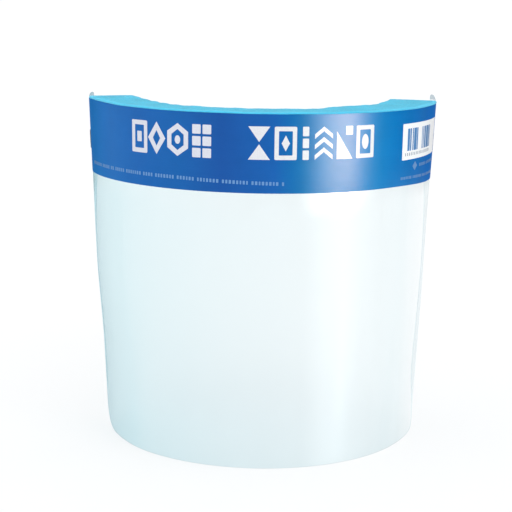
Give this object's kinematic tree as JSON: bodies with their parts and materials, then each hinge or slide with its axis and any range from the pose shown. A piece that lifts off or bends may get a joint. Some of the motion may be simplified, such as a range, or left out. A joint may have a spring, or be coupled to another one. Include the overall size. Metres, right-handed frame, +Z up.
{
  "type": "face shield",
  "caption": "Full-length face shield: clear curved visor with a blue printed header, foam brow pad and stapled elastic head strap.",
  "frame": {"origin": "centre of the brow pad's forehead contact face, in the middle of its flat centre facet", "axes": "+Z up, +Y from the contact face towards the wearer's head, +X towards the wearer's left; the shield faces -Y"},
  "size_m": [0.2328, 0.203, 0.2238],
  "materials": {
    "clear_pet": "clear polished sheet with a faint blue tint",
    "printed_film": "glossy blue print with white marks",
    "foam": "open-cell foam, matt",
    "tape": "double-sided adhesive tape",
    "elastic": "flat knitted elastic, matt",
    "staple_steel": "drawn wire"
  },
  "bodies": {
    "visor": {"visor_sheet": "clear_pet", "header_film": "printed_film", "brow_foam": "foam", "foam_tape": "tape", "strap_end_left": "elastic", "strap_end_right": "elastic", "staple_left_front": "staple_steel", "staple_left_rear": "staple_steel", "staple_right_front": "staple_steel", "staple_right_rear": "staple_steel"},
    "strap": {"strap_side_left": "elastic", "strap_side_right": "elastic"},
    "strap_back": {"strap_rear": "elastic"}
  },
  "joints": [
    {"name": "strap_swing", "type": "hinge", "parent": "visor", "child": "strap", "pos_m": [0, 0.08614, -0.0093], "axis": [1, 0, 0], "range_deg": [-25, 25]},
    {"name": "strap_stretch", "type": "slide", "parent": "strap", "child": "strap_back", "axis": [0, 1, 0], "range_m": [0, 0.05]}
  ]
}
